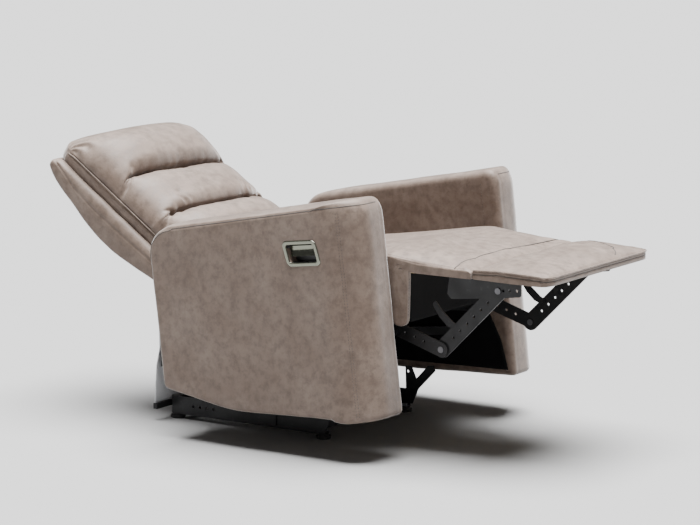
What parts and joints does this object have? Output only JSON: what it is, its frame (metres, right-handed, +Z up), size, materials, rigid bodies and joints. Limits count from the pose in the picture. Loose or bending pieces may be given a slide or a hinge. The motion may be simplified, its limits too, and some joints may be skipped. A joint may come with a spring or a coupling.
{
  "type": "recliner armchair",
  "caption": "Pull-latch recliner armchair, fully reclined, with a three-roll back, padded arms and a fold-out footrest on steel links.",
  "frame": {"origin": "on the floor, in the middle of the four feet", "axes": "+Z up, the sitter faces -Y, +X is the sitter's left"},
  "size_m": [0.85, 1.5425, 0.7465],
  "materials": {
    "cover": "mottled taupe faux leather, soft brushed sheen",
    "black_steel": "black powder coat, satin",
    "zinc_steel": "bright zinc",
    "spring_steel": "oiled spring steel",
    "chrome": "polished",
    "pin_steel": "ground",
    "dark_plastic": "matt black moulding",
    "cable_sheath": "smooth black sheath",
    "foot_rubber": "matt black",
    "timber": "sawn pine",
    "plywood": "plain plywood",
    "black_cloth": "thin black non-woven cloth",
    "pale_cloth": "pale backing cloth"
  },
  "bodies": {
    "floor_base": {"base_rail_right": "black_steel", "base_rail_left": "black_steel", "base_tubes": "black_steel", "floor_feet": "foot_rubber", "foot_bolts": "zinc_steel", "tilt_brackets": "black_steel", "stop_brackets": "black_steel"},
    "chair_body": {"arm_cover_right": "cover", "arm_cover_left": "cover", "arm_frame_right": "timber", "arm_frame_left": "timber", "arm_linings": "black_cloth", "carrier_rail_right": "black_steel", "carrier_rail_left": "black_steel", "carrier_tubes": "black_steel", "tilt_pins": "zinc_steel", "slide_tracks": "black_steel", "rear_skirt": "pale_cloth", "skirt_rail": "timber", "skirt_hangers": "black_steel", "latch_bezel": "chrome", "latch_cup": "dark_plastic", "latch_pin": "pin_steel", "release_cable": "cable_sheath"},
    "latch_handle": {"latch_lever": "chrome"},
    "seat_unit": {"slide_runners": "black_steel", "seat_box_rails": "timber", "seat_front_rail": "timber", "seat_springs": "spring_steel", "seat_cushion": "cover", "knee_board": "plywood", "knee_pad": "cover", "front_panel": "black_cloth", "front_wraps": "cover", "seat_lining": "black_cloth", "side_plate_right": "black_steel", "side_plate_left": "black_steel", "torque_tube": "black_steel", "rear_tube": "black_steel", "seat_bolts": "zinc_steel", "return_springs": "spring_steel", "back_pins": "zinc_steel"},
    "backrest": {"back_shell": "cover", "back_frame": "timber", "lumbar_roll": "cover", "middle_roll": "cover", "head_roll": "cover", "back_brackets": "black_steel"},
    "footrest": {"footrest_board": "plywood", "calf_pad": "cover", "foot_pad": "cover", "foot_screws": "zinc_steel", "foot_brackets": "black_steel", "bracket_rivets": "zinc_steel"},
    "lower_link_right": {"support_link_right": "black_steel", "elbow_rivet_right": "zinc_steel"},
    "lower_link_left": {"support_link_left": "black_steel", "elbow_rivet_left": "zinc_steel"},
    "upper_link_right": {"long_link_right": "black_steel"},
    "upper_link_left": {"long_link_left": "black_steel"}
  },
  "joints": [
    {"name": "backrest_recline", "type": "hinge", "parent": "seat_unit", "child": "backrest", "pos_m": [0, 0.11, 0.33], "axis": [1, 0, 0], "range_deg": [0, 35]},
    {"name": "body_tilt", "type": "hinge", "parent": "floor_base", "child": "chair_body", "pos_m": [0, 0, 0.15], "axis": [1, 0, 0], "range_deg": [0, 6]},
    {"name": "seat_slide", "type": "slide", "parent": "chair_body", "child": "seat_unit", "axis": [0, 0.9921, -0.1253], "range_m": [0, 0.055]},
    {"name": "footrest_fold", "type": "hinge", "parent": "seat_unit", "child": "footrest", "pos_m": [0, -0.6, 0.484], "axis": [1, 0, 0], "range_deg": [0, 82.8]},
    {"name": "latch_pull", "type": "hinge", "parent": "chair_body", "child": "latch_handle", "pos_m": [-0.4135, -0.31413, 0.53974], "axis": [0, 0.9921, -0.1253], "range_deg": [0, 25], "stiffness_Nm_per_rad": 0.2, "springref_deg": -5.73},
    {"name": "lower_link_turn_right", "type": "hinge", "parent": "seat_unit", "child": "lower_link_right", "pos_m": [-0.225, -0.45, 0.33], "axis": [1, 0, 0], "range_deg": [0, 93.26]},
    {"name": "upper_link_turn_right", "type": "hinge", "parent": "lower_link_right", "child": "upper_link_right", "pos_m": [-0.219, -0.61, 0.28], "axis": [1, 0, 0], "range_deg": [-82.84, 0]},
    {"name": "lower_link_turn_left", "type": "hinge", "parent": "seat_unit", "child": "lower_link_left", "pos_m": [0.225, -0.45, 0.33], "axis": [1, 0, 0], "range_deg": [0, 93.26]},
    {"name": "upper_link_turn_left", "type": "hinge", "parent": "lower_link_left", "child": "upper_link_left", "pos_m": [0.219, -0.61, 0.28], "axis": [1, 0, 0], "range_deg": [-82.84, 0]}
  ],
  "couplings": [
    {"joint": "body_tilt", "follows": "backrest_recline", "ratio": 0.17143},
    {"joint": "seat_slide", "follows": "backrest_recline", "m_per_rad": 0.090036},
    {"joint": "lower_link_turn_right", "follows": "footrest_fold", "ratio": 1.1257},
    {"joint": "upper_link_turn_right", "follows": "footrest_fold", "ratio": -0.99988},
    {"joint": "lower_link_turn_left", "follows": "footrest_fold", "ratio": 1.1257},
    {"joint": "upper_link_turn_left", "follows": "footrest_fold", "ratio": -0.99988}
  ]
}
